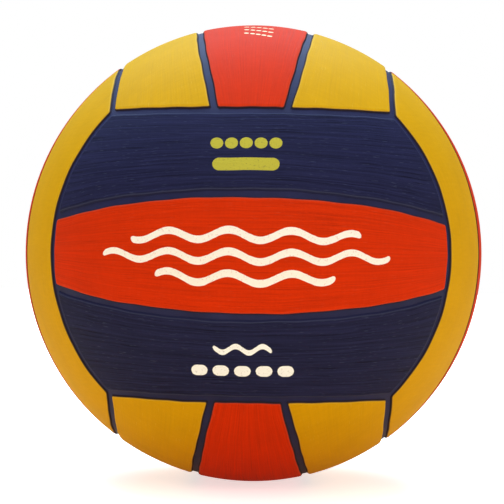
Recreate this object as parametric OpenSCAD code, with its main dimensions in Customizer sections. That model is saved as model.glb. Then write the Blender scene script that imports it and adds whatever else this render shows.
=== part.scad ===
// Water polo ball: an air bladder in a wound nylon layer, under a rubber base cover that carries
// eighteen raised rubber panels. The panels lie in six groups of three strips. Each group covers one
// face of a cube blown up into the ball, and its strips run at right angles to its neighbours' strips.
// The origin is the ball's centre, the valve is at +Z and the front group faces -Y.

/* [Ball] */
// Diameter over the raised panels
ball_d = 220; // [200:1:240]
// Thickness of the raised panels
panel_t = 1; // [0.7:0.1:1.6]
// Thickness of the base cover
cover_t = 0.6; // [0.4:0.1:1.2]
// Thickness of the wound nylon layer
winding_t = 0.5; // [0.3:0.1:1]
// Thickness of the bladder's wall
bladder_t = 0.7; // [0.5:0.1:1.2]
// Thickness of the rubber cement between two pieces that are bonded
cement_t = 0.05; // [0.02:0.01:0.1]

/* [Panels] */
// Width of a middle strip, from the middle of one of its seams to the middle of the other
middle_strip_w = 53.4; // [40:0.2:70]
// Width of a seam between the feet of two panels
seam_w = 2.5; // [1.5:0.1:4]
// Slope of the panels' walls away from square
wall_slope = 8; // [4:1:20]
// Height and width of the bevel along each panel's upper edge
bevel_h = 0.3; // [0.1:0.05:0.5]

/* [Valve seat] */
// Depth of the valve's face below the top of the panel round it
valve_recess = 0.3; // [0.1:0.1:0.6]
// Wall of the stem that comes out through the panel
stem_wall = 0.95; // [0.6:0.05:2]
// Wall of the sleeve inside the bladder
sleeve_wall = 2.4; // [1.5:0.1:4]
// Thickness of the sleeve's inner end
seat_end_t = 2; // [1:0.1:4]
// Diameter of the air hole in the sleeve's inner end
air_hole_d = 3; // [2:0.1:4.5]
// Diameter of the seat's flange
flange_d = 26; // [22:1:34]
// Thickness of the seat's flange
flange_t = 1; // [0.6:0.1:2]

/* [Valve patch] */
// Diameter of the patch
patch_d = 44; // [36:1:60]
// Thickness of the patch
patch_t = 0.8; // [0.5:0.1:1.5]

/* [Valve core] */
// Diameter of the core's shank
shank_d = 5.4; // [4.4:0.1:6]
// Diameter of the core's head
head_d = 7; // [6.6:0.1:9]
// Height of the core's head
head_h = 1.6; // [1:0.1:3]
// Diameter of the ring that locks the core in its seat
ring_d = 7; // [6.6:0.1:9]
// Height of that ring
ring_h = 2; // [1:0.1:4]
// Clearance between the core and its seat
core_clearance = 0.05; // [0.02:0.01:0.1]
// Diameter of the needle channel
needle_d = 2; // [1.6:0.1:2.6]
// Length of the needle channel's straight wall
needle_len = 12; // [8:0.5:16]
// Diameter of the lead-in at the core's face
lead_in_d = 3.4; // [2.8:0.1:4.2]
// Depth of the lead-in
lead_in_h = 0.8; // [0.5:0.1:1.5]
// Thickness of the closed end, which the needle parts along a slit
slit_end_t = 2.2; // [1.5:0.1:4]

/* [Hidden] */
$fn = 180;

red_rubber = "#d0380d";
yellow_rubber = "#dba31f";
navy_rubber = "#292d4a";
black_rubber = "#1d1d1f";
white_nylon = "#d9d6cc";

// How far a cutting shape reaches past what it cuts
overrun = 2;

// The layers, from the panels' faces inwards
ball_r = ball_d / 2;
panel_in_r = ball_r - panel_t;
cover_r = panel_in_r - cement_t;
cover_in_r = cover_r - cover_t;
winding_r = cover_in_r - cement_t;
winding_in_r = winding_r - winding_t;
bladder_r = winding_in_r - cement_t;
bladder_in_r = bladder_r - bladder_t;
patch_r = bladder_in_r - cement_t;
patch_in_r = patch_r - patch_t;
flange_r = patch_in_r - cement_t;
flange_in_r = flange_r - flange_t;
over_r = ball_r + overrun;
far_r = over_r + overrun;

// A group ends where the ball crosses the planes through the corners of the cube inside it
group_angle = acos(1 / sqrt(3));
// A middle strip's seams lie in planes through the ball's centre, this far to each side
strip_angle = asin(middle_strip_w / ball_d);
// Where the walls' cones start, below the panels, and where the bevels start
foot_r = panel_in_r - overrun;
bevel_r = ball_r - bevel_h;

// The valve, from its face inwards
stem_d = head_d + 2 * (core_clearance + stem_wall);
stem_hole_d = stem_d + 2 * cement_t;
sleeve_d = ring_d + 2 * (core_clearance + sleeve_wall);
face_r = ball_r - valve_recess;
channel_end_z = face_r - lead_in_h - needle_len;
core_end_z = channel_end_z - slit_end_t;
seat_end_z = core_end_z - core_clearance - seat_end_t;
flange_mid_z = flange_r - flange_t / 2;

// The point at a distance from the ball's centre and at an angle from the axis of revolution
function at(distance, angle) = [distance * sin(angle), distance * cos(angle)];

// Half of a seam's width between its walls, and between its bevels, at a distance from the centre
function wall_half_w(distance) = seam_w / 2 + (distance - panel_in_r) * tan(wall_slope);
function bevel_half_w(distance) = wall_half_w(bevel_r) + distance - bevel_r;

// The core's outline beside the axis, wider by grow all round, up to the height top_z
function core_outline(grow, top_z) = [
    [0, core_end_z - grow],
    [ring_d / 2 + grow, core_end_z - grow],
    [ring_d / 2 + grow, core_end_z + ring_h + grow],
    [shank_d / 2 + grow, core_end_z + ring_h + grow],
    [shank_d / 2 + grow, face_r - head_h - grow],
    [head_d / 2 + grow, face_r - head_h - grow],
    [head_d / 2 + grow, top_z],
    [0, top_z]
];

// A hollow sphere
module layer(outer_r, inner_r) {
    difference() {
        sphere(r = outer_r);
        sphere(r = inner_r);
    }
}

// Everything within the seam that circles +Z at seam_angle. A side of -1 stops short of the seam and
// a side of 1 takes it in. The edge is a cone, inner_w from the seam's middle at foot_r and outer_w
// from it at over_r.
module inside_seam(seam_angle, side, inner_w, outer_w) {
    foot = at(foot_r, seam_angle + side * asin(inner_w / foot_r));
    lip = at(over_r, seam_angle + side * asin(outer_w / over_r));
    rotate_extrude()
        polygon([[0, foot[1]], foot, lip, [far_r, lip[1]], [far_r, far_r], [0, far_r]]);
}

module to_wall(seam_angle, side) {
    inside_seam(seam_angle, side, wall_half_w(foot_r), wall_half_w(over_r));
}

module to_bevel(seam_angle, side) {
    inside_seam(seam_angle, side, bevel_half_w(foot_r), bevel_half_w(over_r));
}

// The middle strip of the top group, which runs along Y
module middle_strip() {
    intersection() {
        layer(ball_r, panel_in_r);
        to_wall(group_angle, -1);
        rotate([0, 90 - strip_angle, 0])
            to_wall(90, -1);
        rotate([0, strip_angle - 90, 0])
            to_wall(90, -1);
        to_bevel(group_angle, -1);
        rotate([0, 90 - strip_angle, 0])
            to_bevel(90, -1);
        rotate([0, strip_angle - 90, 0])
            to_bevel(90, -1);
    }
}

// The strip beside it, at +X for a side of 1 and at -X for a side of -1
module outer_strip(side) {
    difference() {
        intersection() {
            layer(ball_r, panel_in_r);
            to_wall(group_angle, -1);
            rotate([0, side * (90 + strip_angle), 0])
                to_wall(90, -1);
            to_bevel(group_angle, -1);
            rotate([0, side * (90 + strip_angle), 0])
                to_bevel(90, -1);
        }
        rotate([0, side * 90, 0])
            to_wall(group_angle, 1);
        rotate([0, side * 90, 0])
            to_bevel(group_angle, 1);
    }
}

// The other groups are the top group, turned so that X takes the place of Y, or of Z
module to_bottom() {
    rotate([180, 0, 0])
        children();
}

module to_right() {
    rotate(a = 120, v = [1, 1, 1])
        children();
}

module to_left() {
    rotate([0, 180, 0])
        to_right()
            children();
}

module to_back() {
    rotate(a = 240, v = [1, 1, 1])
        children();
}

module to_front() {
    rotate([0, 0, 180])
        to_back()
            children();
}

// The hole for the valve's stem through every layer
module stem_hole() {
    cylinder(h = over_r, d = stem_hole_d);
}

// The air bag, with its hole for the valve
module bladder() {
    color(black_rubber)
        difference() {
            layer(bladder_r, bladder_in_r);
            stem_hole();
        }
}

// The disc inside the bladder that strengthens it round the valve
module valve_patch() {
    color(black_rubber)
        difference() {
            intersection() {
                layer(patch_r, patch_in_r);
                cylinder(h = over_r, d = patch_d);
            }
            stem_hole();
        }
}

// The sleeve that holds the core, with its flange under the patch and its stem out to the panel
module valve_seat() {
    color(black_rubber)
        difference() {
            union() {
                intersection() {
                    layer(flange_r, flange_in_r);
                    cylinder(h = over_r, d = flange_d);
                }
                intersection() {
                    sphere(r = face_r);
                    translate([0, 0, flange_mid_z])
                        cylinder(h = over_r - flange_mid_z, d = stem_d);
                }
                translate([0, 0, seat_end_z])
                    cylinder(h = flange_mid_z - seat_end_z, d = sleeve_d);
            }
            rotate_extrude()
                polygon(core_outline(core_clearance, over_r));
            translate([0, 0, seat_end_z - overrun])
                cylinder(h = core_end_z - seat_end_z + overrun, d = air_hole_d);
        }
}

// The plug that closes the valve, with the channel and the lead-in that guide the needle
module valve_core() {
    color(black_rubber)
        difference() {
            intersection() {
                sphere(r = face_r);
                rotate_extrude()
                    polygon(core_outline(0, over_r));
            }
            rotate_extrude()
                polygon([
                    [0, channel_end_z],
                    [needle_d / 2, channel_end_z],
                    [needle_d / 2, face_r - lead_in_h],
                    [lead_in_d / 2, face_r],
                    [lead_in_d / 2, over_r],
                    [0, over_r]
                ]);
        }
}

// The yarn wound round the bladder, which keeps the ball round
module nylon_winding() {
    color(white_nylon)
        difference() {
            layer(winding_r, winding_in_r);
            stem_hole();
        }
}

// The skin that the panels are moulded on, which shows along every seam
module base_cover() {
    color(navy_rubber)
        difference() {
            layer(cover_r, cover_in_r);
            stem_hole();
        }
}

// The front and back groups, whose strips run along X
module front_upper_panel() {
    color(navy_rubber)
        to_front()
            outer_strip(1);
}

module front_middle_panel() {
    color(red_rubber)
        to_front()
            middle_strip();
}

module front_lower_panel() {
    color(navy_rubber)
        to_front()
            outer_strip(-1);
}

module back_upper_panel() {
    color(navy_rubber)
        to_back()
            outer_strip(1);
}

module back_middle_panel() {
    color(red_rubber)
        to_back()
            middle_strip();
}

module back_lower_panel() {
    color(navy_rubber)
        to_back()
            outer_strip(-1);
}

// The left and right groups, whose strips run along Z
module left_front_panel() {
    color(yellow_rubber)
        to_left()
            outer_strip(-1);
}

module left_middle_panel() {
    color(red_rubber)
        to_left()
            middle_strip();
}

module left_back_panel() {
    color(yellow_rubber)
        to_left()
            outer_strip(1);
}

module right_front_panel() {
    color(yellow_rubber)
        to_right()
            outer_strip(-1);
}

module right_middle_panel() {
    color(red_rubber)
        to_right()
            middle_strip();
}

module right_back_panel() {
    color(yellow_rubber)
        to_right()
            outer_strip(1);
}

// The top and bottom groups, whose strips run along Y
module top_left_panel() {
    color(yellow_rubber)
        outer_strip(-1);
}

module top_middle_panel() {
    color(red_rubber)
        difference() {
            middle_strip();
            stem_hole();
        }
}

module top_right_panel() {
    color(yellow_rubber)
        outer_strip(1);
}

module bottom_left_panel() {
    color(yellow_rubber)
        to_bottom()
            outer_strip(-1);
}

module bottom_middle_panel() {
    color(red_rubber)
        to_bottom()
            middle_strip();
}

module bottom_right_panel() {
    color(yellow_rubber)
        to_bottom()
            outer_strip(1);
}

bladder();
valve_patch();
valve_seat();
valve_core();
nylon_winding();
base_cover();
front_upper_panel();
front_middle_panel();
front_lower_panel();
back_upper_panel();
back_middle_panel();
back_lower_panel();
left_front_panel();
left_middle_panel();
left_back_panel();
right_front_panel();
right_middle_panel();
right_back_panel();
top_left_panel();
top_middle_panel();
top_right_panel();
bottom_left_panel();
bottom_middle_panel();
bottom_right_panel();
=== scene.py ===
from math import cos, pi, radians, sin, tan

import bpy
import numpy as np
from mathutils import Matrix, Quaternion, Vector


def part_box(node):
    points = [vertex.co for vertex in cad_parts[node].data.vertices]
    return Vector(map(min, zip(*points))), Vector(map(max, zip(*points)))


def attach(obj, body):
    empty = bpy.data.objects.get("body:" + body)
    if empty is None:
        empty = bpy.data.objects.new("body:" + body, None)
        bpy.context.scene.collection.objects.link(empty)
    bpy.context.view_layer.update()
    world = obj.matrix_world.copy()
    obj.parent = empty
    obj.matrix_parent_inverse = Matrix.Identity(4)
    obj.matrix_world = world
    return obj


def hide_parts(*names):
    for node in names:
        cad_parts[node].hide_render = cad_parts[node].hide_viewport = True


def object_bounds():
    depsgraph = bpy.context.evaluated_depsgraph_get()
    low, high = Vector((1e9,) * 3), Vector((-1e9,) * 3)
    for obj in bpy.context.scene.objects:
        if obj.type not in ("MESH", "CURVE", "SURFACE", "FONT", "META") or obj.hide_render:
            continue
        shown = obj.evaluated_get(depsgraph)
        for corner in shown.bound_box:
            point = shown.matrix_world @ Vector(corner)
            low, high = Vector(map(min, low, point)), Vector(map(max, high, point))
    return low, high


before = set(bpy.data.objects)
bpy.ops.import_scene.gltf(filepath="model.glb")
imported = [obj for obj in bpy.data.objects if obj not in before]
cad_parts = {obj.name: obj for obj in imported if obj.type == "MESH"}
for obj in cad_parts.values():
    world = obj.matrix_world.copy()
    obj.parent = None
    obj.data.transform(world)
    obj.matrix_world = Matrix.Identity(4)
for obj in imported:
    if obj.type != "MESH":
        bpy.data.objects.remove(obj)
cad_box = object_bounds()


# The camera. It looks at the ball's middle from eight ball radii away, from a hair to the right
# and above, and is rolled a little to the left, so that the ball seems turned to the right.
MM = 0.001
camera_distance = 870 * MM
camera_yaw = radians(1.24)
camera_pitch = radians(0.53)
camera_roll = radians(0.72)
camera_lens = 127.8
camera_shift = (-0.0031, 0.0024)

away = Vector((
    sin(camera_yaw) * cos(camera_pitch),
    -cos(camera_yaw) * cos(camera_pitch),
    sin(camera_pitch),
))
camera = bpy.data.objects.new("camera", bpy.data.cameras.new("camera"))
bpy.context.scene.collection.objects.link(camera)
bpy.context.scene.camera = camera
camera.location = away * camera_distance
camera.rotation_mode = "QUATERNION"
camera.rotation_quaternion = away.to_track_quat("Z", "Y") @ Quaternion((0, 0, 1), camera_roll)
camera.data.lens = camera_lens
camera.data.sensor_width = 36
camera.data.shift_x, camera.data.shift_y = camera_shift
camera.data.clip_end = 100


# The bladder and the patch inside it: air-tight butyl rubber, moulded in two halves and cured, then
# dusted with talc so that it doesn't stick to itself. Black and dull, with a pale bloom of dust.
butyl_black = "#1c1c1e"
butyl_bloom = "#5b5a58"
butyl_roughness = 0.72
bloom_w = 18 * MM
bloom_range = (0.45, 0.75)
butyl_grain_w = 0.8 * MM
butyl_grain_h = 0.03 * MM


def linear(hex_colour):
    """An sRGB hex colour in linear light: a share up to 0.04045 is divided by 12.92, and above it
    ((share + 0.055) / 1.055) is raised to the power 2.4."""
    shares = np.array([int(hex_colour[k:k + 2], 16) for k in (1, 3, 5)]) / 255
    light = np.where(shares <= 0.04045, shares / 12.92, ((shares + 0.055) / 1.055) ** 2.4)
    return (*light.tolist(), 1.0)


def add(tree, kind, settings, inputs):
    """Adds a node. An input is a value, a socket, or a node, which stands for its first output."""
    node = tree.nodes.new("ShaderNode" + kind)
    for name, value in settings.items():
        setattr(node, name, value)
    for name, value in inputs.items():
        if isinstance(value, bpy.types.Node):
            value = value.outputs[0]
        if isinstance(value, bpy.types.NodeSocket):
            tree.links.new(value, node.inputs[name])
        else:
            node.inputs[name].default_value = value
    return node


def new_finish(name):
    """A material whose tree is still empty, and the tree."""
    finish = bpy.data.materials.new(name)
    finish.use_nodes = True
    finish.node_tree.nodes.clear()
    return finish, finish.node_tree


def dusted_butyl_rubber():
    """Black butyl under clouds of talc as wide as a thumb, with a fine moulded grain."""
    finish, tree = new_finish("dusted_butyl_rubber")
    place = add(tree, "TexCoord", {}, {}).outputs["Object"]
    clouds = add(tree, "TexNoise", {}, {"Vector": place, "Scale": 1 / bloom_w, "Detail": 4.0})
    bloom = add(tree, "MapRange", {}, {
        "Value": clouds, "From Min": bloom_range[0], "From Max": bloom_range[1]})
    colour = add(tree, "MixRGB", {}, {
        "Fac": bloom, "Color1": linear(butyl_black), "Color2": linear(butyl_bloom)})
    grain = add(tree, "TexNoise", {}, {"Vector": place, "Scale": 1 / butyl_grain_w, "Detail": 2.0})
    bumps = add(tree, "Bump", {}, {"Height": grain, "Distance": butyl_grain_h})
    shader = add(tree, "BsdfPrincipled", {}, {
        "Base Color": colour, "Normal": bumps, "Roughness": butyl_roughness})
    add(tree, "OutputMaterial", {}, {"Surface": shader})
    return finish


butyl = dusted_butyl_rubber()
for node_name in ("bladder", "valve_patch"):
    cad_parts[node_name].material_slots[0].material = butyl


# The valve seat: a soft black rubber sleeve with a flange, moulded in one and cemented under the
# patch. Its stem comes out through every layer and ends just below the top panel's face.
valve_black = "#141416"
valve_grey = "#2a2a2c"
valve_roughness = 0.42
valve_grain_w = 0.5 * MM
valve_grain_h = 0.015 * MM
valve_turns = 96
valve_fillet = 0.25 * MM
fillet_steps = 4
fillet_most = 0.45
flange_points = 8
sharp_angle = radians(50)
cement_t = 0.05 * MM
core_gap = 0.05 * MM
bladder_t = 0.7 * MM
patch_t = 0.8 * MM
flange_t = 1 * MM
flange_r = 13 * MM
stem_wall = 0.95 * MM
sleeve_wall = 2.4 * MM
air_hole_r = 1.5 * MM
head_r = 3.5 * MM
head_h = 1.6 * MM
shank_r = 2.7 * MM
ring_r = 3.5 * MM
ring_h = 2 * MM

ball_r = cad_box[1].x
face_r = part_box("valve_core")[1].z
core_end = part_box("valve_core")[0].z
seat_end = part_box("valve_seat")[0].z
flange_top_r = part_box("bladder")[1].x - bladder_t - patch_t - 2 * cement_t
sleeve_r = ring_r + core_gap + sleeve_wall
stem_r = head_r + core_gap + stem_wall


def new_piece(name, points, *face_groups):
    """Makes a mesh object of points in metres and arrays of faces, one array for each number of
    corners. It is shaded smooth, but for edges that turn by more than sharp_angle."""
    corners = np.concatenate([group.ravel() for group in face_groups])
    sides = np.concatenate([np.full(len(group), group.shape[1]) for group in face_groups])
    mesh = bpy.data.meshes.new(name)
    mesh.vertices.add(len(points))
    mesh.vertices.foreach_set("co", points.astype(np.float32).ravel())
    mesh.loops.add(len(corners))
    mesh.loops.foreach_set("vertex_index", corners.astype(np.int32))
    mesh.polygons.add(len(sides))
    mesh.polygons.foreach_set("loop_start", (np.cumsum(sides) - sides).astype(np.int32))
    mesh.update(calc_edges=True)
    mesh.shade_smooth()
    mesh.set_sharp_from_angle(angle=sharp_angle)
    piece = bpy.data.objects.new(name, mesh)
    bpy.context.scene.collection.objects.link(piece)
    return piece


def numbered(start, *shape):
    """Whole numbers from start on, laid out row by row in an array of that shape."""
    return start + np.arange(np.prod(shape)).reshape(shape)


def lathe(name, profile, turns):
    """A profile of radius and height, turned about Z, with its outside on the right as it goes on.
    A profile that starts and ends on the axis gets a pole at each end. Any other one is a loop."""
    has_poles = profile[0, 0] == 0
    rings = profile[1:-1] if has_poles else profile
    angle = np.arange(turns) * 2 * pi / turns
    radius, height = rings[:, :1], rings[:, 1:]
    grid = np.stack([radius * np.cos(angle), radius * np.sin(angle), height + 0 * angle], axis=-1)
    here = numbered(0, len(rings), turns)
    beside = np.roll(here, -1, axis=1)
    if not has_poles:
        after, after_beside = np.roll(here, -1, axis=0), np.roll(beside, -1, axis=0)
        walls = np.stack([here, beside, after_beside, after], axis=-1).reshape(-1, 4)
        return new_piece(name, grid.reshape(-1, 3), walls)
    walls = np.stack([here[:-1], beside[:-1], beside[1:], here[1:]], axis=-1).reshape(-1, 4)
    poles = np.array([[0, 0, profile[0, 1]], [0, 0, profile[-1, 1]]])
    first = np.stack([beside[0], here[0], np.full(turns, grid.size // 3)], axis=-1)
    last = np.stack([here[-1], beside[-1], np.full(turns, grid.size // 3 + 1)], axis=-1)
    return new_piece(name, np.concatenate([grid.reshape(-1, 3), poles]), walls, first, last)


def filleted(corners, radius):
    """Rounds every corner of a closed profile: each becomes a quadratic curve that starts and ends
    up to radius from it, and no further than fillet_most times the shorter side beside it."""
    back, ahead = np.roll(corners, 1, axis=0) - corners, np.roll(corners, -1, axis=0) - corners
    back_length, ahead_length = np.linalg.norm(back, axis=1), np.linalg.norm(ahead, axis=1)
    reach = np.minimum(np.minimum(back_length, ahead_length) * fillet_most, radius)[:, None]
    start = corners + back / back_length[:, None] * reach
    end = corners + ahead / ahead_length[:, None] * reach
    share = np.linspace(0, 1, fillet_steps + 1)[:, None, None]
    curve = start * (1 - share) ** 2 + corners * 2 * share * (1 - share) + end * share ** 2
    return curve.swapaxes(0, 1).reshape(-1, 2)


def arc_over(sphere_r, from_r, to_r, count):
    """Points of a sphere's profile above its middle, at even steps of distance from the axis."""
    radius = np.linspace(from_r, to_r, count)
    return np.column_stack([radius, np.sqrt(sphere_r ** 2 - radius ** 2)])


def moulded_valve_rubber():
    """Black rubber with a slight oily sheen and a fine grain, moulded against a steel tool."""
    finish, tree = new_finish("moulded_valve_rubber")
    place = add(tree, "TexCoord", {}, {}).outputs["Object"]
    grain = add(tree, "TexNoise", {}, {"Vector": place, "Scale": 1 / valve_grain_w, "Detail": 3.0})
    tint = add(tree, "MixRGB", {}, {
        "Fac": grain, "Color1": linear(valve_black), "Color2": linear(valve_grey)})
    bumps = add(tree, "Bump", {}, {"Height": grain, "Distance": valve_grain_h})
    shader = add(tree, "BsdfPrincipled", {}, {
        "Base Color": tint, "Normal": bumps, "Roughness": valve_roughness})
    add(tree, "OutputMaterial", {}, {"Surface": shader})
    return finish


valve_rubber = moulded_valve_rubber()
bore_head_r, bore_shank_r, bore_ring_r = head_r + core_gap, shank_r + core_gap, ring_r + core_gap
seat_profile = np.concatenate([
    [[air_hole_r, seat_end], [sleeve_r, seat_end]],
    arc_over(flange_top_r - flange_t, sleeve_r, flange_r, flange_points),
    arc_over(flange_top_r, flange_r, stem_r, flange_points),
    arc_over(face_r, stem_r, bore_head_r, 2),
    [
        [bore_head_r, face_r - head_h - core_gap],
        [bore_shank_r, face_r - head_h - core_gap],
        [bore_shank_r, core_end + ring_h + core_gap],
        [bore_ring_r, core_end + ring_h + core_gap],
        [bore_ring_r, core_end - core_gap],
        [air_hole_r, core_end - core_gap],
    ],
])
valve_seat = lathe("valve_seat_moulding", filleted(seat_profile, valve_fillet), valve_turns)
valve_seat.data.materials.append(valve_rubber)
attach(valve_seat, "root")
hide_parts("valve_seat")


# The valve core: a plug of firmer rubber, moulded and pressed into the seat with glycerine. Its
# lead-in guides the needle into a channel, whose closed end the needle parts.
needle_r = 1 * MM
needle_length = 12 * MM
lead_in_r = 1.7 * MM
lead_in_h = 0.8 * MM
core_face_points = 3
pole_r = 0.2 * MM

lead_in_z = face_r - lead_in_h
channel_end = lead_in_z - needle_length
core_profile = filleted(np.concatenate([
    [
        [0, core_end],
        [ring_r, core_end],
        [ring_r, core_end + ring_h],
        [shank_r, core_end + ring_h],
        [shank_r, face_r - head_h],
        [head_r, face_r - head_h],
    ],
    arc_over(face_r, head_r, lead_in_r, core_face_points),
    [[needle_r, lead_in_z], [needle_r, channel_end], [0, channel_end]],
]), valve_fillet)
# The fillets at the axis give way to a flat pole at each end.
core_profile = core_profile[core_profile[:, 0] > pole_r]
core_profile = np.concatenate([[[0, core_end]], core_profile, [[0, channel_end]]])
valve_core = lathe("valve_core_plug", core_profile, valve_turns)
valve_core.data.materials.append(valve_rubber)
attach(valve_core, "root")
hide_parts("valve_core")


# The winding: a few thousand metres of nylon yarn wound over the bladder along ever-turning great
# circles and set in latex. It keeps the ball round, and looks like a bobbin crossed every way.
nylon_white = "#e4e1d6"
nylon_gap = "#8f8a7c"
nylon_roughness = 0.55
yarn_pitch = 1.1 * MM
yarn_h = 0.12 * MM
yarn_crown = 0.5
yarn_wander_w = 9 * MM
patches_per_m = 60
patches_differ_by = 10
winding_ways = ((1, 0.2, 0.1), (0.15, 1, -0.3), (-0.2, 0.35, 1), (0.7, -0.7, 0.3), (0.5, 0.6, -0.7))


def wound_nylon_yarn():
    """Yarn on great circles: for each way, a sine of the latitude about that way's axis, one wave
    to a pitch, times patches of noise, a little wider or narrower than the last way's. The highest
    of them all lies on top, and gaps are dark."""
    finish, tree = new_finish("wound_nylon_yarn")
    place = add(tree, "TexCoord", {}, {}).outputs["Object"]
    wander = add(tree, "TexNoise", {}, {"Vector": place, "Scale": 1 / yarn_wander_w, "Detail": 1.0})
    height = None
    for way in winding_ways:
        axis = Vector(way).normalized()
        latitude = add(tree, "VectorMath", {"operation": "DOT_PRODUCT"}, {0: place, 1: axis})
        turns = add(tree, "Math", {"operation": "MULTIPLY_ADD"}, {
            0: latitude.outputs["Value"], 1: 2 * pi / yarn_pitch, 2: wander})
        wave = add(tree, "Math", {"operation": "SINE"}, {0: turns})
        cover = add(tree, "TexNoise", {}, {
            "Vector": place, "Scale": patches_per_m + patches_differ_by * axis.x, "Detail": 0.0})
        strand = add(tree, "Math", {"operation": "MULTIPLY"}, {0: wave, 1: cover})
        height = strand if height is None else add(
            tree, "Math", {"operation": "MAXIMUM"}, {0: height, 1: strand})
    shade = add(tree, "MapRange", {}, {"Value": height, "From Min": 0.0, "From Max": yarn_crown})
    colour = add(tree, "MixRGB", {}, {
        "Fac": shade, "Color1": linear(nylon_gap), "Color2": linear(nylon_white)})
    bumps = add(tree, "Bump", {}, {"Height": height, "Distance": yarn_h})
    shader = add(tree, "BsdfPrincipled", {}, {
        "Base Color": colour, "Normal": bumps, "Roughness": nylon_roughness})
    add(tree, "OutputMaterial", {}, {"Surface": shader})
    return finish


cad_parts["nylon_winding"].material_slots[0].material = wound_nylon_yarn()


# The base cover: a thin skin of navy natural rubber, vulcanised round the winding in a hot mould.
# It shows only as the floor of the seams, where the mould leaves it duller than the panels.
cover_navy = "#171a43"
cover_bloom = "#212553"
cover_roughness = 0.6
cover_gloss = 0.2
cover_t = 0.6 * MM
cover_turns = 192
cover_rows = 128
cover_grain_w = 0.7 * MM
cover_grain_h = 0.02 * MM
cover_bloom_w = 14 * MM
cover_bloom_range = (0.3, 0.8)

cover_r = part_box("base_cover")[1].x
stem_hole_r = stem_r + cement_t


def pierced_shell(outer_r, inner_r, hole_r, rows):
    """The profile of a hollow ball with a round hole at its top: up the outer arc from the foot,
    over the hole's rim, and back down the inner arc, in even steps of angle."""
    outer_edge, inner_edge = np.arcsin(hole_r / outer_r), np.arcsin(hole_r / inner_r)
    rising = np.linspace(pi, outer_edge, rows)[:, None]
    falling = np.linspace(inner_edge, pi, rows)[:, None]
    outer_arc = outer_r * np.hstack([np.sin(rising), np.cos(rising)])
    inner_arc = inner_r * np.hstack([np.sin(falling), np.cos(falling)])
    outer_arc[0, 0] = inner_arc[-1, 0] = 0
    return np.concatenate([outer_arc, inner_arc])


def moulded_cover_rubber():
    """Navy natural rubber with cloudy bloom, and the grain of a blasted mould."""
    finish, tree = new_finish("moulded_cover_rubber")
    place = add(tree, "TexCoord", {}, {}).outputs["Object"]
    clouds = add(tree, "TexNoise", {}, {"Vector": place, "Scale": 1 / cover_bloom_w, "Detail": 5.0})
    bloom = add(tree, "MapRange", {}, {
        "Value": clouds, "From Min": cover_bloom_range[0], "From Max": cover_bloom_range[1]})
    colour = add(tree, "MixRGB", {}, {
        "Fac": bloom, "Color1": linear(cover_navy), "Color2": linear(cover_bloom)})
    grain = add(tree, "TexNoise", {}, {"Vector": place, "Scale": 1 / cover_grain_w, "Detail": 3.0})
    bumps = add(tree, "Bump", {}, {"Height": grain, "Distance": cover_grain_h})
    shader = add(tree, "BsdfPrincipled", {}, {
        "Base Color": colour, "Normal": bumps,
        "Roughness": cover_roughness, "Specular IOR Level": cover_gloss})
    add(tree, "OutputMaterial", {}, {"Surface": shader})
    return finish


cover_profile = pierced_shell(cover_r, cover_r - cover_t, stem_hole_r, cover_rows)
base_cover = lathe("base_cover_skin", cover_profile, cover_turns)
base_cover.data.materials.append(moulded_cover_rubber())
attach(base_cover, "root")
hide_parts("base_cover")


# The eighteen panels: strips of red, yellow and navy rubber, moulded with fine lengthwise lines and
# cemented to the cover in six groups of three. They are cut and laid by hand, so their edges waver,
# and the cement that is pressed out flares their feet. The walls of the red and yellow panels are
# painted near black, as shade in the seams.
panel_t = 1 * MM
middle_strip_w = 53.4 * MM
seam_w = 2.5 * MM
wall_slope = radians(45)
shoulder_w = 1.5 * MM
shoulder_h = 0.6 * MM
plan_corner_r = 0.9 * MM
edge_band_w = 2.8 * MM
shoulder_steps = 6
band_steps = 4
wall_steps = 3
grip_pitch = 1 * MM
lines_per_ridge = 4
grip_h = 0.035 * MM
grip_least = 0.35
grip_break_l = 11 * MM
grip_break_w = 2.5 * MM
grip_fade_w = 1.5 * MM
along_step = 2.6 * MM
waver_h = 0.3 * MM
waver_ls = np.array([83, 41, 19]) * MM
unevenness_h = 0.09 * MM
dent_l = 26 * MM
dent_w = 15 * MM
under_stride = 8
plain_r = 9 * MM
hole_block_half_w = 7 * MM
hole_block_slack = 1.01
hole_line_step = 0.7 * MM
hole_line_margin = 1.1
hole_lip_r = 0.3 * MM
lip_steps = 4
hole_face_steps = 8
hole_wall_steps = 3
hole_foot_steps = 3
secant_steps = 5
secant_slope = 0.5

foot_r = cover_r + cement_t
shelf_r = ball_r - shoulder_h
group_angle = np.arccos(1 / np.sqrt(3))
strip_angle = np.arcsin(middle_strip_w / 2 / ball_r)


def seam_half_angle(radius):
    """Half of a seam, seen from the ball's centre: half its width at the panels' feet, and more by
    the tangent of the walls' slope for each step outwards."""
    return np.arcsin((seam_w / 2 + (radius - foot_r) * tan(wall_slope)) / radius)


def waver(distance, phases):
    """A mean of three sines of the distance along an edge, each with its own length and phase."""
    waves = np.sin(2 * pi * distance[..., None] / waver_ls + phases)
    return waver_h * waves.mean(axis=-1)


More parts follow.
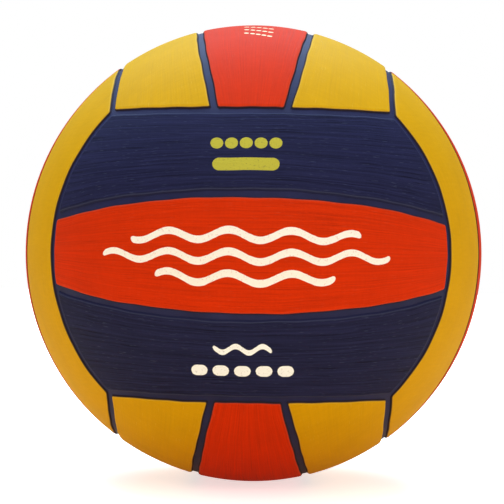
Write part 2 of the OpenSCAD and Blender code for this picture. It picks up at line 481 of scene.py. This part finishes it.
def strip_angles(kind, seam_angle, side, end, across_share, end_share, phases):
    """Longitude about Y and angle along Y of points of the strip on top of the ball. A point lies
    at across_share of the way between the strip's two sides and end_share of the way to its end,
    both drawn in by side and end. A middle strip's sides are planes through Y. An outer strip's
    far side is a circle about X, and each end a circle about Z. Each angle depends on the other,
    so the longitude is found where the one that follows from it is the same, by the secant
    method, with a slope of at least secant_slope downwards."""
    end_phases = np.where(end_share[..., None] < 0, phases[2], phases[3])

    def that_follows(longitude):
        beyond = seam_angle + (end + waver(longitude * ball_r, end_phases)) / ball_r
        reach = np.arccos(np.minimum(np.cos(group_angle - beyond) / np.cos(longitude), 1))
        along = end_share * reach
        near = seam_angle + (side + waver(along * ball_r, phases[0])) / ball_r
        far = seam_angle + (side + waver(along * ball_r, phases[1])) / ball_r
        if kind == "middle":
            low = -strip_angle + np.arcsin(np.sin(near) / np.cos(along))
            high = strip_angle - np.arcsin(np.sin(far) / np.cos(along))
        else:
            low = strip_angle + np.arcsin(np.sin(near) / np.cos(along))
            high = np.arcsin(np.minimum(np.cos(group_angle + far) / np.cos(along), 1))
        return low + across_share * (high - low), along

    last = np.zeros(np.broadcast(side, end).shape)
    last_miss = that_follows(last)[0]
    longitude = last_miss / 2
    for _ in range(secant_steps):
        miss = that_follows(longitude)[0] - longitude
        moved = np.where(longitude == last, 1, longitude - last)
        slope = np.minimum((miss - last_miss) / moved, -secant_slope)
        last, last_miss = longitude, miss
        longitude = longitude - miss / slope
    return longitude, that_follows(longitude)[1]


def direction(longitude, along):
    """The unit vector at a longitude about Y, from Z towards X, and an angle along Y."""
    return np.stack([
        np.sin(longitude) * np.cos(along),
        np.sin(along),
        np.cos(longitude) * np.cos(along),
    ], axis=-1)


def cloudy(first, second, first_cell, second_cell, rng):
    """Smooth noise from 0 to 1: random values at the corners of a lattice of cells, joined by the
    3 x x - 2 x x x curve along both sides."""
    u, v = (first - first.min()) / first_cell, (second - second.min()) / second_cell
    i, j = u.astype(int), v.astype(int)
    lattice = rng.random((i.max() + 2, j.max() + 2))
    f, g = (u - i) ** 2 * (3 - 2 * (u - i)), (v - j) ** 2 * (3 - 2 * (v - j))
    low = lattice[i, j] * (1 - g) + lattice[i, j + 1] * g
    high = lattice[i + 1, j] * (1 - g) + lattice[i + 1, j + 1] * g
    return low * (1 - f) + high * f


def edge_lines(length, step, multiple, middle_step):
    """Grid lines across a strip: crowded over the shoulder and the band by each edge, and even in
    between, where their number is made up so that all the steps are a multiple. With middle_step,
    finer ones lie round a hole. Gives each line's distance from its edge, and its share of the way
    between the bands."""
    turn = np.linspace(0, pi / 2, shoulder_steps + 1)
    shoulder = shoulder_w * (1 - np.cos(turn))
    band = np.linspace(shoulder_w, edge_band_w, band_steps + 1)
    edge = np.concatenate([shoulder, band[1:-1]])
    count = round((length - 2 * edge_band_w) / step)
    count += -(count + 2 * len(edge)) % multiple
    share = np.linspace(0, 1, count + 1)
    if middle_step:
        half = hole_block_half_w / (length - 2 * edge_band_w)
        finer = 0.5 + np.linspace(-half, half, 1 + 2 * round(hole_block_half_w / middle_step))
        share = np.concatenate([share[abs(share - 0.5) > half * hole_line_margin], finer])
        share.sort()
    inset = np.concatenate([edge, np.full(len(share), edge_band_w), edge[::-1]])
    share = np.concatenate([np.zeros(len(edge)), share, np.ones(len(edge))])
    return inset, share


def with_round_corners(side, end):
    """Bends a grid's distances from its side and its end into round corners, and gives the distance
    from the outline too. In the square of plan_corner_r at each corner, u and v from the square's
    inner corner, as shares of its width, become u sqrt(1 - v v / 2) and v sqrt(1 - u u / 2), so
    that the outermost points lie on a quarter circle."""
    u, v = np.maximum(plan_corner_r - side, 0), np.maximum(plan_corner_r - end, 0)
    x = u * np.sqrt(1 - (v / plan_corner_r) ** 2 / 2)
    y = v * np.sqrt(1 - (u / plan_corner_r) ** 2 / 2)
    at_corner = (u > 0) & (v > 0)
    inset = np.where(at_corner, plan_corner_r - np.hypot(x, y), np.minimum(side, end))
    side = np.where(u > 0, plan_corner_r - x, side + 0 * end)
    end = np.where(v > 0, plan_corner_r - y, end + 0 * side)
    return side, end, inset


def face_radius(along, across, inset, is_pierced, rng):
    """How far a panel's face lies from the ball's centre: the ball's radius, less the shoulder, a
    quarter ellipse within shoulder_w of the outline, less the valleys of the moulded lines, a
    cosine across the strip that is worn in clouds and fades near the outline and round a hole,
    less slow dents."""
    sunk = np.maximum(1 - inset / shoulder_w, 0)
    shoulder = shoulder_h * (1 - np.sqrt(np.maximum(1 - sunk ** 2, 0)))
    worn = cloudy(along, across, grip_break_l, grip_break_w, rng)
    fade = np.clip((inset - shoulder_w) / grip_fade_w, 0, 1)
    if is_pierced:
        fade = fade * np.clip((np.hypot(along, across) - plain_r) / grip_fade_w, 0, 1)
    valley = (1 + np.cos(2 * pi * across / grip_pitch)) / 2
    grip = grip_h * valley * fade * (grip_least + (1 - grip_least) * worn)
    dents = cloudy(along, across, dent_l, dent_w, rng)
    sag = unevenness_h * dents * np.clip(inset / edge_band_w, 0, 1)
    return ball_r - shoulder - grip - sag


def rim_of(rows, columns):
    """The indices of a grid's outermost points, once round, with the outside on the right."""
    return (
        np.concatenate([np.arange(rows - 1), np.full(columns - 1, rows - 1),
                        np.arange(rows - 1, 0, -1), np.zeros(columns - 1, int)]),
        np.concatenate([np.zeros(rows - 1, int), np.arange(columns - 1),
                        np.full(rows - 1, columns - 1), np.arange(columns - 1, 0, -1)]),
    )


def tube(rings):
    """Faces between rings of as many points each, once round, with the outside on the right."""
    after = np.roll(rings, -1, axis=1)
    return np.stack([rings[:-1], rings[1:], after[1:], after[:-1]], axis=-1).reshape(-1, 4)


def underside(under, cut, stride):
    """Faces under a panel, but for a cut block: quads between every stride-th row of the grid, and
    at each end a row of faces that take in all the points of the rim beside them."""
    lower = under[::stride]
    quads = np.stack([lower[:-1, :-1], lower[:-1, 1:], lower[1:, 1:], lower[1:, :-1]], axis=-1)
    quads = quads[:, 1:-1][~cut[::stride, 1:-1]]
    steps = np.arange(stride + 1) + np.arange(0, len(under) - 1, stride)[:, None]
    near_end = np.hstack([under[steps[:, :1], 0], under[steps[:, :1], 1],
                          under[steps[:, -1:], 1], under[steps[:, :0:-1], 0]])
    far_end = np.hstack([under[steps[:, :1], -2], under[steps, -1], under[steps[:, -1:], -2]])
    return quads, near_end, far_end


def block_round_hole(along, across):
    """The block of a panel's grid that gives way to the hole: the slice of its faces, and the
    indices of the points on its outline, once round."""
    rows = np.flatnonzero(abs(across[:, along.shape[1] // 2]) < hole_block_half_w)
    columns = np.flatnonzero(abs(along[len(along) // 2]) < hole_block_half_w * hole_block_slack)
    rim = rim_of(len(rows), len(columns))
    return np.s_[rows[0]:rows[-1], columns[0]:columns[-1]], (rim[0] + rows[0], rim[1] + columns[0])


def hole_lining(outline, hole_r):
    """Points of the rings from a block's outline, given as X and Y, into a round hole and out
    again under the panel. Each ring lies a share of the way from the outline to a circle, and on a
    sphere: over the face, round the lip's quarter circle, down the hole, and back at the feet."""
    circle = outline / np.linalg.norm(outline, axis=1)[:, None]
    lip = np.linspace(0, pi / 2, lip_steps + 1)[::-1]
    lip_circles = hole_r + hole_lip_r * (1 - np.cos(lip))
    lip_spheres = ball_r - hole_lip_r * (1 - np.sin(lip))
    wall_spheres = np.linspace(ball_r - hole_lip_r, foot_r, hole_wall_steps + 1)[1:]
    inward = np.linspace(0, 1, hole_face_steps + 1)[1:-1]
    outward = np.linspace(1, 0, hole_foot_steps + 1)[1:-1]
    levels = [
        *[(share, hole_r + hole_lip_r, ball_r) for share in inward],
        *[(1, circle_r, sphere_r) for circle_r, sphere_r in zip(lip_circles, lip_spheres)],
        *[(1, hole_r, sphere_r) for sphere_r in wall_spheres],
        *[(share, hole_r, foot_r) for share in outward],
    ]
    share, circle_r, sphere_r = np.array(levels).T[..., None, None]
    spots = outline * (1 - share) + circle * circle_r * share
    heights = np.sqrt(sphere_r ** 2 - (spots ** 2).sum(axis=-1, keepdims=True))
    return np.concatenate([spots, heights], axis=-1)


def in_rows(along, across, edge):
    """The three values of each point as a row, with those that several points share repeated."""
    return np.stack(np.broadcast_arrays(along, across, edge), axis=-1).reshape(-1, 3)


def add_strip_map(panel, spots):
    """Gives a panel its UV map strip_mm, the distances along and across the strip in millimetres,
    and its attribute edge_mm, the distance from the outline, or below zero that down the wall."""
    corner_of = np.zeros(len(panel.data.loops), np.int32)
    panel.data.loops.foreach_get("vertex_index", corner_of)
    strip_map = panel.data.uv_layers.new(name="strip_mm")
    strip_map.data.foreach_set("uv", spots[corner_of, :2].astype(np.float32).ravel())
    edge = panel.data.attributes.new("edge_mm", "FLOAT", "POINT")
    edge.data.foreach_set("value", spots[:, 2].astype(np.float32))


def new_panel(name, kind, turn, seed, hole_r):
    """A panel as one closed surface: a grid over its face, rings down its walls, and a coarser
    grid under it. Where there is a hole, a block of both grids gives way to the hole's lining. It
    is made on top of the ball, and turned to its place by a matrix."""
    rng = np.random.default_rng(seed)
    phases = rng.random((4, len(waver_ls))) * 2 * pi
    strip_w = 2 * strip_angle if kind == "middle" else pi / 2 - group_angle - strip_angle
    strip_w = strip_w * ball_r - seam_w
    strip_l = 2 * group_angle * ball_r - seam_w
    stride = 1 if hole_r else under_stride
    side, across_share = edge_lines(strip_w, grip_pitch / lines_per_ridge, stride, 0)
    end, end_share = edge_lines(strip_l, along_step, 1, hole_line_step if hole_r else 0)
    side, end, inset = with_round_corners(side[:, None], end[None, :])
    across_share = across_share[:, None] + 0 * inset
    end_share = 2 * end_share - 1 + 0 * inset

    def on_ball(radius, at):
        """Unit vectors to points of the grid, with the seams of that radius, and angles along Y."""
        angles = strip_angles(
            kind, seam_half_angle(radius), side[at], end[at],
            across_share[at], end_share[at], phases)
        return direction(*angles), angles[1]

    face, angle_along = on_ball(shelf_r, np.s_[:, :])
    along = angle_along * ball_r
    across = (across_share - 0.5) * (strip_w - 2 * edge_band_w)
    across = across + np.where(across_share < 0.5, side - edge_band_w, edge_band_w - side)
    face_points = face * face_radius(along, across, inset, bool(hole_r), rng)[..., None]

    here = numbered(0, *inset.shape)
    rim = rim_of(*inset.shape)
    wall_radii = np.linspace(shelf_r, foot_r, wall_steps + 1)[1:]
    wall_points = np.stack([on_ball(radius, rim)[0] * radius for radius in wall_radii])
    wall = numbered(here.size, *wall_points.shape[:2])
    inner = np.s_[stride:-1:stride, 1:-1]
    inner_points = on_ball(foot_r, inner)[0] * foot_r
    under = np.full(here.shape, -1)
    under[rim] = wall[-1]
    under[inner] = numbered(here.size + wall.size, *inner_points.shape[:2])

    cut = np.zeros((here.shape[0] - 1, here.shape[1] - 1), bool)
    lining_points, lining_faces = np.empty((0, 3)), []
    if hole_r:
        block, outline = block_round_hole(along, across)
        cut[block] = True
        lining_points = hole_lining(face[outline][:, :2] * ball_r, hole_r)
        lining = numbered(under.max() + 1, *lining_points.shape[:2])
        lining_faces = [tube(np.vstack([here[outline], lining, under[outline]]))[:, ::-1]]
    quads = np.stack([here[:-1, :-1], here[1:, :-1], here[1:, 1:], here[:-1, 1:]], axis=-1)[~cut]
    walls = tube(np.vstack([here[rim], wall]))
    faces = [quads, walls, *underside(under, cut, stride), *lining_faces]
    points = np.concatenate([
        part.reshape(-1, 3) for part in (face_points, wall_points, inner_points, lining_points)])
    used = np.unique(np.concatenate([group.ravel() for group in faces]))
    panel = new_piece(
        name, points[used] @ turn.T, *[np.searchsorted(used, group) for group in faces])

    wall_depths = np.linspace(0, -1, wall_steps + 1)[1:] * (panel_t - shoulder_h)
    spots = np.concatenate([
        in_rows(along, across, inset),
        in_rows(along[rim], across[rim], wall_depths[:, None]),
        in_rows(0, 0, np.zeros(under[inner].size)),
        in_rows(lining_points[..., 1], lining_points[..., 0], edge_band_w),
    ])
    add_strip_map(panel, spots[used] / MM)
    return panel


panel_red = "#ca2e02"
panel_yellow = "#cc9a03"
panel_navy = "#1f2142"
# The rim colours are partly wear and partly a painted highlight of the edges catching the light.
rim_red_wear_and_highlight = "#c8563c"
rim_yellow_wear_and_highlight = "#dcb64c"
rim_navy_wear_and_highlight = "#535c78"
# The red and yellow panels' walls are painted near black as shade in the seams.
painted_wall_shade = "#2a2430"
wall_navy = "#242648"
ink_cream = "#f7f3ee"
ink_old_cream = "#efdcb6"
ink_white = "#f6faff"
ink_lime = "#b8b03e"
panel_gloss = 0.05
panel_roughness = (0.53, 0.69)
line_bump_h = 0.04 * MM
grain_w = 0.45 * MM
grain_share = 0.5
cloud_w = 16 * MM
cloud_tone = 0.03
pinhole_w = 0.9 * MM
pinhole_range = (0.3, 0.4)
pinhole_ink = 0.75

# Nearly all values of a noise lie in this range.
noise_range = (0.3, 0.7)

# What follows the strip map or the distance from the edge is in their unit, the millimetre.
line_w = 1
line_l = 60
scratch_w = 0.5
scratch_l = 22
scratch_range = (0.25, 0.4)
cloth_w = 1.1
cloth_l = 7
cloth_tone = 0.02
scuff_w = 0.35
scuff_l = 5
scuff_range = (0.71, 0.81)
scuff_strength = 0.35
scuff_reach = 6
scuff_more = 0.08
edge_ragged = 0.25
rim_range = (0.6, 1.0)
rim_strength = 0.25
wall_range = (0.15, 0.55)
ink_fray = 0.5
ink_range = (0.15, 0.35)


def ink_stroke(
        tree, strip, middle, angle=0, half_l=0, half_w=1, copies=0, gap=1, wave_h=0, wave_l=1):
    """How far inside a printed stroke a point lies, in mm, and below zero outside it: half_w less
    the distance to the stroke's middle line, which is turned by an angle in degrees, ends half_l
    from its middle, follows a sine of height wave_h and length wave_l, and is repeated copies times
    to each side, gap apart."""
    spot = add(tree, "Mapping", {"vector_type": "TEXTURE"}, {
        "Vector": strip, "Location": (*middle, 0), "Rotation": (0, 0, radians(angle))})
    split = add(tree, "SeparateXYZ", {}, {"Vector": spot})
    along, across = split.outputs["X"], split.outputs["Y"]
    if wave_h:
        phase = add(tree, "Math", {"operation": "MULTIPLY"}, {0: along, 1: 2 * pi / wave_l})
        swing = add(tree, "Math", {"operation": "SINE"}, {0: phase})
        lift = add(tree, "Math", {"operation": "MULTIPLY"}, {0: swing, 1: wave_h})
        across = add(tree, "Math", {"operation": "SUBTRACT"}, {0: across, 1: lift})
    if copies:
        number = add(tree, "Math", {"operation": "DIVIDE"}, {0: along, 1: gap})
        nearest = add(tree, "Math", {"operation": "ROUND"}, {0: number})
        kept = add(tree, "Clamp", {}, {"Value": nearest, "Min": -copies, "Max": copies})
        shift = add(tree, "Math", {"operation": "MULTIPLY"}, {0: kept, 1: gap})
        along = add(tree, "Math", {"operation": "SUBTRACT"}, {0: along, 1: shift})
    size = add(tree, "Math", {"operation": "ABSOLUTE"}, {0: along})
    past = add(tree, "Math", {"operation": "SUBTRACT"}, {0: size, 1: half_l})
    beyond = add(tree, "Math", {"operation": "MAXIMUM"}, {0: past, 1: 0.0})
    away_from_line = add(tree, "CombineXYZ", {}, {"X": beyond, "Y": across})
    length = add(tree, "VectorMath", {"operation": "LENGTH"}, {0: away_from_line})
    return add(tree, "Math", {"operation": "SUBTRACT"}, {0: half_w, 1: length.outputs["Value"]})


def moulded_panel_rubber(name, colour, rim_wear_and_highlight_colour, wall_colour, depth, ink_colour=None, marks=()):
    """Matt natural rubber, moulded with lengthwise lines: streaks of noise a line wide and many
    lines long, a few darker scratches, fainter streaks across as from a cloth, clouds of slightly
    uneven colour, short pale scuffs, most of them near the edge, a paler rim, partly wear and
    partly painted highlight, and walls in the wall colour, which on the red and yellow panels is
    painted shade.
    The lines darken and lighten the colour by depth, and the scratches darken it by twice that.
    Ink frays along the lines and misses a few pinholes."""
    finish, tree = new_finish(name)
    place = add(tree, "TexCoord", {}, {}).outputs["Object"]
    strip = add(tree, "UVMap", {"uv_map": "strip_mm"}, {})
    edge = add(tree, "Attribute", {"attribute_name": "edge_mm"}, {}).outputs["Fac"]

    def streaks(length, width, detail):
        """Noise on the strip map, stretched to blots of that length and width."""
        spot = add(tree, "Mapping", {}, {"Vector": strip, "Scale": (1 / length, 1 / width, 1)})
        return add(tree, "TexNoise", {}, {"Vector": spot, "Scale": 1.0, "Detail": detail})

    lines, scratches = streaks(line_l, line_w, 3.0), streaks(scratch_l, scratch_w, 1.0)
    cloth = streaks(cloth_w, cloth_l, 1.0)
    clouds = add(tree, "TexNoise", {}, {"Vector": place, "Scale": 1 / cloud_w, "Detail": 4.0})
    grain = add(tree, "TexNoise", {}, {"Vector": place, "Scale": 1 / grain_w, "Detail": 2.0})
    rubber = linear(colour)[:3]
    for pattern, span, darkest, lightest in (
        (lines, noise_range, 1 - depth, 1 + depth),
        (scratches, scratch_range, 1 - 2 * depth, 1.0),
        (cloth, noise_range, 1 - cloth_tone, 1 + cloth_tone),
        (clouds, noise_range, 1 - cloud_tone, 1 + cloud_tone),
    ):
        tone = add(tree, "MapRange", {}, {
            "Value": pattern, "From Min": span[0], "From Max": span[1],
            "To Min": darkest, "To Max": lightest})
        rubber = add(tree, "VectorMath", {"operation": "SCALE"}, {0: rubber, "Scale": tone})

    # The rim is paler partly from wear and partly as a painted highlight of the edge catching the
    # light. The scuffs are wear.
    ragged = add(tree, "Math", {"operation": "MULTIPLY_ADD"}, {0: clouds, 1: edge_ragged, 2: edge})
    rim = add(tree, "MapRange", {}, {
        "Value": ragged, "From Min": rim_range[0], "From Max": rim_range[1],
        "To Min": rim_strength, "To Max": 0.0})
    more_scuffs = add(tree, "MapRange", {}, {
        "Value": edge, "From Min": 0.0, "From Max": scuff_reach,
        "To Min": scuff_more, "To Max": 0.0})
    scuffs = add(tree, "Math", {"operation": "ADD"}, {
        0: streaks(scuff_l, scuff_w, 1.0), 1: more_scuffs})
    scuffed = add(tree, "MapRange", {}, {
        "Value": scuffs, "From Min": scuff_range[0], "From Max": scuff_range[1],
        "To Min": 0.0, "To Max": scuff_strength})
    # worn holds the rim's wear and painted highlight, and the scuffs.
    worn = add(tree, "Math", {"operation": "MAXIMUM"}, {0: rim, 1: scuffed})
    rimmed = add(tree, "MixRGB", {}, {"Fac": worn, "Color1": rubber, "Color2": linear(rim_wear_and_highlight_colour)})
    # in_wall paints the walls and the steepest edge of the shoulder in the wall colour: painted
    # shade, near black, on the red and yellow panels, and a navy close to the panel's own on the
    # navy ones.
    in_wall = add(tree, "MapRange", {}, {
        "Value": ragged, "From Min": wall_range[0], "From Max": wall_range[1],
        "To Min": 1.0, "To Max": 0.0})
    surface = add(tree, "MixRGB", {}, {
        "Fac": in_wall, "Color1": rimmed, "Color2": linear(wall_colour)})

    ink = None
    for mark in marks:
        stroke = ink_stroke(tree, strip, **mark)
        ink = stroke if ink is None else add(
            tree, "Math", {"operation": "MAXIMUM"}, {0: ink, 1: stroke})
    if marks:
        frayed = add(tree, "Math", {"operation": "MULTIPLY_ADD"}, {0: lines, 1: ink_fray, 2: ink})
        coat = add(tree, "MapRange", {}, {
            "Value": frayed, "From Min": ink_range[0], "From Max": ink_range[1]})
        pinholes = add(tree, "TexNoise", {}, {
            "Vector": place, "Scale": 1 / pinhole_w, "Detail": 2.0})
        thickness = add(tree, "MapRange", {}, {
            "Value": pinholes, "From Min": pinhole_range[0], "From Max": pinhole_range[1],
            "To Min": pinhole_ink, "To Max": 1.0})
        covered = add(tree, "Math", {"operation": "MULTIPLY"}, {0: coat, 1: thickness})
        surface = add(tree, "MixRGB", {}, {
            "Fac": covered, "Color1": surface, "Color2": linear(ink_colour)})

    relief = add(tree, "Math", {"operation": "ADD"}, {0: lines, 1: scratches})
    relief = add(tree, "Math", {"operation": "MULTIPLY_ADD"}, {0: grain, 1: grain_share, 2: relief})
    bumps = add(tree, "Bump", {}, {"Height": relief, "Distance": line_bump_h})
    dullness = add(tree, "MapRange", {}, {
        "Value": lines, "To Min": panel_roughness[0], "To Max": panel_roughness[1]})
    shader = add(tree, "BsdfPrincipled", {}, {
        "Base Color": surface, "Normal": bumps,
        "Roughness": dullness, "Specular IOR Level": panel_gloss})
    add(tree, "OutputMaterial", {}, {"Surface": shader})
    return finish


# Plain printed marks. Places, lengths and widths are in millimetres along and across the strip.
water_lines = [
    dict(middle=(1.5, row), half_l=half_l, half_w=1.7, wave_h=2.2, wave_l=27)
    for row, half_l in ((9, 50), (-0.5, 65), (-10, 38))
]
size_marks = [
    dict(middle=(1.6, 3), half_w=2.8, copies=2, gap=6.4),
    dict(middle=(1.6, -7.3), half_l=11.5, half_w=3),
]
lower_marks = [
    dict(middle=(-2.1, -5.9), half_l=11.5, half_w=1.3, wave_h=1.5, wave_l=11.5),
    dict(middle=(-2.1, 4.9), half_l=0.9, half_w=2.7, copies=2, gap=9.4),
]
pole_marks = [
    dict(middle=(row, 2), angle=108, half_l=0.4, half_w=0.9, copies=2, gap=3.2)
    for row in (-28, -36, -43)
]

# The matrix that turns a strip on top of the ball, with its length along Y, to its group's place,
# and the names of each group's two outer strips. The first of them is turned by half a turn more.
groups = {
    "top": ((1, 0, 0), (0, 1, 0), (0, 0, 1)),
    "bottom": ((1, 0, 0), (0, -1, 0), (0, 0, -1)),
    "right": ((0, 0, 1), (1, 0, 0), (0, 1, 0)),
    "left": ((0, 0, -1), (1, 0, 0), (0, -1, 0)),
    "back": ((0, 1, 0), (0, 0, 1), (1, 0, 0)),
    "front": ((0, -1, 0), (0, 0, -1), (1, 0, 0)),
}
sides = {
    "top": ("left", "right"), "bottom": ("left", "right"),
    "right": ("front", "back"), "left": ("front", "back"),
    "back": ("lower", "upper"), "front": ("lower", "upper"),
}
half_turn = np.diag([-1, -1, 1])

# A rubber's colour, its rim's (wear and painted highlight), its walls', and how deep its lines are.
red_look = (panel_red, rim_red_wear_and_highlight, painted_wall_shade, 0.11)
smoother_red_look = (panel_red, rim_red_wear_and_highlight, painted_wall_shade, 0.07)
yellow_look = (panel_yellow, rim_yellow_wear_and_highlight, painted_wall_shade, 0.025)
navy_look = (panel_navy, rim_navy_wear_and_highlight, wall_navy, 0.3)
rubbers = {
    "red": moulded_panel_rubber("red_panel_rubber", *red_look),
    "yellow": moulded_panel_rubber("yellow_panel_rubber", *yellow_look),
    "navy": moulded_panel_rubber("navy_panel_rubber", *navy_look),
}
printed = {
    "front_middle": moulded_panel_rubber(
        "red_panel_rubber_with_water_lines", *red_look, ink_cream, water_lines),
    "top_middle": moulded_panel_rubber(
        "red_panel_rubber_with_pole_marks", *smoother_red_look, ink_old_cream, pole_marks),
    "front_upper": moulded_panel_rubber(
        "navy_panel_rubber_with_lime_marks", *navy_look, ink_lime, size_marks),
    "front_lower": moulded_panel_rubber(
        "navy_panel_rubber_with_white_marks", *navy_look, ink_white, lower_marks),
}

panel_number = 0
for group, turn in groups.items():
    low_side, high_side = sides[group]
    for place in (low_side, "middle", high_side):
        panel_number += 1
        kind = "middle" if place == "middle" else "outer"
        spin = half_turn if place == low_side else np.eye(3)
        is_pierced = (group, place) == ("top", "middle")
        panel = new_panel(
            f"{group}_{place}_strip", kind, np.array(turn) @ spin, panel_number,
            stem_hole_r if is_pierced else None)
        side_colour = "navy" if group in ("front", "back") else "yellow"
        colour = "red" if place == "middle" else side_colour
        panel.data.materials.append(printed.get(f"{group}_{place}", rubbers[colour]))
        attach(panel, "root")
        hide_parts(f"{group}_{place}_panel")


# The studio: a wide cool light above, a warm one high in front and a weaker one on the right. The
# pale floor glows faintly, throws warm light back up and fades into the white surround.
floor_r = 3.0
floor_rings = 24
floor_turns = 64
floor_fade = (0.3, 0.8)
floor_white = "#f6f6f4"
floor_warmth = "#f4d4a8"
floor_glow = 0.24
floor_glow_seen = 0.45
floor_roughness = 0.9
surround_white = (1.0, 1.0, 1.0, 1.0)
surround_lit = 0.42
surround_seen = 1.0


def new_floor():
    """A flat disc at the ball's foot, in rings that grow with the square of their number."""
    radius = floor_r * (np.arange(1, floor_rings + 1) / floor_rings) ** 2
    angle = np.arange(floor_turns) * 2 * pi / floor_turns
    flat = np.stack([radius[:, None] * np.cos(angle), radius[:, None] * np.sin(angle)], axis=-1)
    points = np.concatenate([flat.reshape(-1, 2), [[0, 0]]])
    points = np.column_stack([points, np.full(len(points), cad_box[0].z)])
    here = numbered(0, floor_rings, floor_turns)
    beside = np.roll(here, -1, axis=1)
    walls = np.stack([here[:-1], here[1:], beside[1:], beside[:-1]], axis=-1).reshape(-1, 4)
    centre = np.full(floor_turns, floor_rings * floor_turns)
    return new_piece("floor", points, walls, np.stack([here[0], beside[0], centre], axis=-1))


def matt_floor_paint():
    """White matt paint to the camera, which glows a little near the ball and as the white surround
    does past the fade, and to the ball a warm pale one, as from boards, with a weaker glow."""
    finish, tree = new_finish("matt_floor_paint")
    place = add(tree, "TexCoord", {}, {}).outputs["Object"]
    seen = add(tree, "LightPath", {}, {}).outputs["Is Camera Ray"]
    distance = add(tree, "VectorMath", {"operation": "LENGTH"}, {0: place}).outputs["Value"]
    fade = add(tree, "MapRange", {"interpolation_type": "SMOOTHSTEP"}, {
        "Value": distance, "From Min": floor_fade[0], "From Max": floor_fade[1],
        "To Min": floor_glow_seen, "To Max": 1.0})
    glow = add(tree, "Math", {"operation": "MULTIPLY_ADD"}, {0: fade, 1: seen, 2: floor_glow})
    paint = add(tree, "MixRGB", {}, {
        "Fac": seen, "Color1": linear(floor_warmth), "Color2": linear(floor_white)})
    shader = add(tree, "BsdfPrincipled", {}, {
        "Base Color": paint, "Emission Color": paint, "Emission Strength": glow,
        "Roughness": floor_roughness, "Specular IOR Level": 0.0})
    add(tree, "OutputMaterial", {}, {"Surface": shader})
    return finish


floor = new_floor()
floor.data.materials.append(matt_floor_paint())


def new_light(name, place, size, radiance, colour):
    """A square area light at a place in metres, which shines at the ball's middle. Its power is pi
    times its radiance and its area."""
    light = bpy.data.objects.new(name, bpy.data.lights.new(name, "AREA"))
    bpy.context.scene.collection.objects.link(light)
    light.location = place
    light.rotation_mode = "QUATERNION"
    light.rotation_quaternion = Vector(place).to_track_quat("Z", "Y")
    light.data.size = size
    light.data.energy = pi * radiance * size ** 2
    light.data.color = linear(colour)[:3]


new_light("cool_top_light", place=(-0.12, 0.5, 1.45), size=1.8, radiance=5.3, colour="#c2e4ff")
new_light("warm_front_light", place=(0, -1.85, 1.95), size=2.4, radiance=1.42, colour="#fff8ec")
new_light("right_fill", place=(2.2, -1.0, 0.2), size=1.8, radiance=0.95, colour="#ffffff")

world = bpy.data.worlds.new("white_surround")
bpy.context.scene.world = world
world.use_nodes = True
world.node_tree.nodes.clear()
seen = add(world.node_tree, "LightPath", {}, {}).outputs["Is Camera Ray"]
lit = add(world.node_tree, "Background", {}, {"Color": surround_white, "Strength": surround_lit})
shown = add(world.node_tree, "Background", {}, {"Color": surround_white, "Strength": surround_seen})
either = add(world.node_tree, "MixShader", {}, {0: seen, 1: lit, 2: shown})
add(world.node_tree, "OutputWorld", {}, {"Surface": either})
bpy.context.scene.view_settings.view_transform = "Standard"
